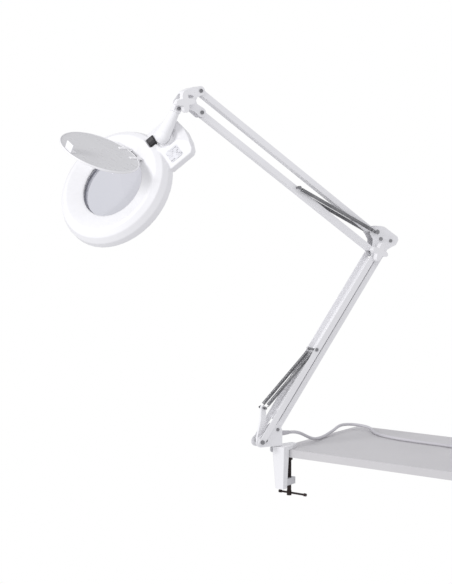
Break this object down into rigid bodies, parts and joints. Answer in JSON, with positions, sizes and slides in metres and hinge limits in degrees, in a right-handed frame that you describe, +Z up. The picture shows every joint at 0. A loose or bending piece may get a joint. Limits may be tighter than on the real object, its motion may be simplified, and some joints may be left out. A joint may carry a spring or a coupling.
{
  "type": "magnifying lamp",
  "caption": "Clamp-on magnifying lamp: ring-shaped white head with a round lens and hinged lens cover, on two spring-balanced parallel arms, with a mains lead.",
  "frame": {"origin": "underside of the clamp's upper jaw, on the front edge of the table it grips", "axes": "+X along the table's front edge, +Y into the table, +Z up"},
  "size_m": [0.6993, 0.6661, 0.7695],
  "materials": {
    "white_paint": "satin",
    "white_plastic": "satin",
    "cover_plastic": "satin",
    "lead_sheath": "satin",
    "black_plastic": "gloss",
    "dark_steel": "satin",
    "spring_steel": "satin",
    "blackened_screw": "satin",
    "grey_steel": "satin",
    "lens_glass": "gloss",
    "tube_glass": "satin"
  },
  "bodies": {
    "clamp": {"clamp_body": "white_paint", "clamp_nut": "grey_steel", "lock_screw": "grey_steel", "swivel_washer": "white_plastic", "mains_lead": "lead_sheath", "lead_coil": "lead_sheath", "mains_plug": "black_plastic"},
    "pad": {"screw_pad": "blackened_screw"},
    "screw": {"clamp_screw": "blackened_screw"},
    "bar": {"tommy_bar": "blackened_screw"},
    "base": {"swivel_pin": "dark_steel", "base_yoke": "white_paint", "spring_lever": "white_paint", "lever_pin": "dark_steel", "base_front_bolt": "dark_steel", "yoke_bolt": "dark_steel", "base_rear_bolt": "dark_steel", "base_washer_near": "white_plastic", "base_washer_far": "white_plastic", "cord_grommet": "lead_sheath"},
    "lower_front": {"lower_front_channel": "white_paint", "lower_spring_bolt": "dark_steel", "lower_spring_near": "spring_steel", "lower_spring_far": "spring_steel"},
    "lower_rear": {"lower_rear_channel": "white_paint"},
    "elbow": {"elbow_bracket": "white_paint", "elbow_bolt": "dark_steel", "elbow_washer_near": "white_plastic", "elbow_washer_far": "white_plastic", "elbow_rear_bolt": "dark_steel", "elbow_brace_bolt": "dark_steel", "upper_pivot_bolt": "dark_steel"},
    "elbow_hand_knob": {"elbow_knob": "white_plastic"},
    "upper_bottom": {"upper_bottom_channel": "white_paint", "upper_spring_bolt": "dark_steel", "upper_spring_near": "spring_steel", "upper_spring_far": "spring_steel"},
    "upper_top": {"upper_top_channel": "white_paint"},
    "head_end": {"head_bracket": "white_paint", "head_lower_bolt": "dark_steel", "head_upper_bolt": "dark_steel", "head_tilt_bolt": "dark_steel"},
    "head_hand_knob": {"head_knob": "white_plastic"},
    "neck": {"neck_link": "white_paint", "neck_bolt": "dark_steel"},
    "stem": {"neck_stem": "white_paint", "turn_screw": "grey_steel"},
    "head": {"head_shell": "white_paint", "turn_washer": "white_plastic", "ballast": "grey_steel", "ballast_cover": "white_paint", "fluorescent_tube": "tube_glass", "diffuser_ring": "cover_plastic", "lens": "lens_glass", "lens_ring": "white_paint", "switch_bezel": "black_plastic", "rating_label": "cover_plastic", "cover_hinge_pin": "dark_steel"},
    "rocker": {"rocker_switch": "black_plastic"},
    "cover": {"lens_cover": "cover_plastic"}
  },
  "joints": [
    {"name": "screw_turn", "type": "hinge", "parent": "pad", "child": "screw", "pos_m": [0, 0.021, -0.05], "axis": [0, 0, 1], "range_deg": [-5761, 2593]},
    {"name": "pad_lift", "type": "slide", "parent": "clamp", "child": "pad", "axis": [0, 0, 1], "range_m": [-0.02, 0.009]},
    {"name": "bar_slide", "type": "slide", "parent": "screw", "child": "bar", "axis": [1, 0, 0], "range_m": [-0.029, 0.013]},
    {"name": "base_swivel", "type": "hinge", "parent": "clamp", "child": "base", "pos_m": [-0.007, -0.01, 0], "axis": [0, 0, 1], "range_deg": [-120, 120]},
    {"name": "lower_arm_tilt", "type": "hinge", "parent": "base", "child": "lower_front", "pos_m": [-0.02335, -0.04814, 0.019], "axis": [0.9191, -0.3939, 0], "range_deg": [-7, 24], "deforming": ["lower_spring_near", "lower_spring_far"]},
    {"name": "lower_rear_tilt", "type": "hinge", "parent": "base", "child": "lower_rear", "pos_m": [-0.00897, -0.0146, 0.0395], "axis": [0.9191, -0.3939, 0], "range_deg": [-7, 24]},
    {"name": "elbow_level", "type": "hinge", "parent": "lower_front", "child": "elbow", "pos_m": [0.07905, 0.19077, 0.37028], "axis": [0.9191, -0.3939, 0], "range_deg": [-24, 7]},
    {"name": "elbow_knob_spin", "type": "hinge", "parent": "elbow", "child": "elbow_hand_knob", "pos_m": [0.09743, 0.1829, 0.37028], "axis": [0.9191, -0.3939, 0], "continuous": true},
    {"name": "upper_arm_tilt", "type": "hinge", "parent": "elbow", "child": "upper_bottom", "pos_m": [0.07905, 0.19077, 0.37028], "axis": [0.9191, -0.3939, 0], "range_deg": [-18, 45], "deforming": ["upper_spring_near", "upper_spring_far"]},
    {"name": "upper_top_tilt", "type": "hinge", "parent": "elbow", "child": "upper_top", "pos_m": [0.07826, 0.18893, 0.40879], "axis": [0.9191, -0.3939, 0], "range_deg": [-18, 45]},
    {"name": "head_level", "type": "hinge", "parent": "upper_bottom", "child": "head_end", "pos_m": [-0.07299, -0.16397, 0.62964], "axis": [0.9191, -0.3939, 0], "range_deg": [-45, 18]},
    {"name": "head_knob_spin", "type": "hinge", "parent": "head_end", "child": "head_hand_knob", "pos_m": [-0.07312, -0.20743, 0.64634], "axis": [0.9191, -0.3939, 0], "continuous": true},
    {"name": "head_tilt", "type": "hinge", "parent": "head_end", "child": "neck", "pos_m": [-0.08875, -0.20074, 0.64634], "axis": [0.9191, -0.3939, 0], "range_deg": [-50, 34]},
    {"name": "neck_swivel", "type": "hinge", "parent": "neck", "child": "stem", "pos_m": [-0.08875, -0.20074, 0.64634], "axis": [-0.197, -0.4596, -0.866], "range_deg": [-60, 90]},
    {"name": "head_turn", "type": "hinge", "parent": "stem", "child": "head", "pos_m": [-0.10234, -0.23245, 0.58658], "axis": [0.0792, -0.8879, 0.4532], "range_deg": [-5, 65]},
    {"name": "rocker_press", "type": "hinge", "parent": "head", "child": "rocker", "pos_m": [-0.12857, -0.22889, 0.57607], "axis": [0.676, 0.382, 0.6302], "range_deg": [0, 6]},
    {"name": "cover_open", "type": "hinge", "parent": "head", "child": "cover", "pos_m": [-0.15413, -0.24894, 0.55338], "axis": [-0.8482, 0.1788, 0.4986], "range_deg": [-60, 40]}
  ],
  "couplings": [
    {"joint": "screw_turn", "follows": "pad_lift", "rad_per_m": 5026.5},
    {"joint": "lower_rear_tilt", "follows": "lower_arm_tilt", "ratio": 1},
    {"joint": "elbow_level", "follows": "lower_arm_tilt", "ratio": -1},
    {"joint": "upper_top_tilt", "follows": "upper_arm_tilt", "ratio": 1},
    {"joint": "head_level", "follows": "upper_arm_tilt", "ratio": -1}
  ]
}
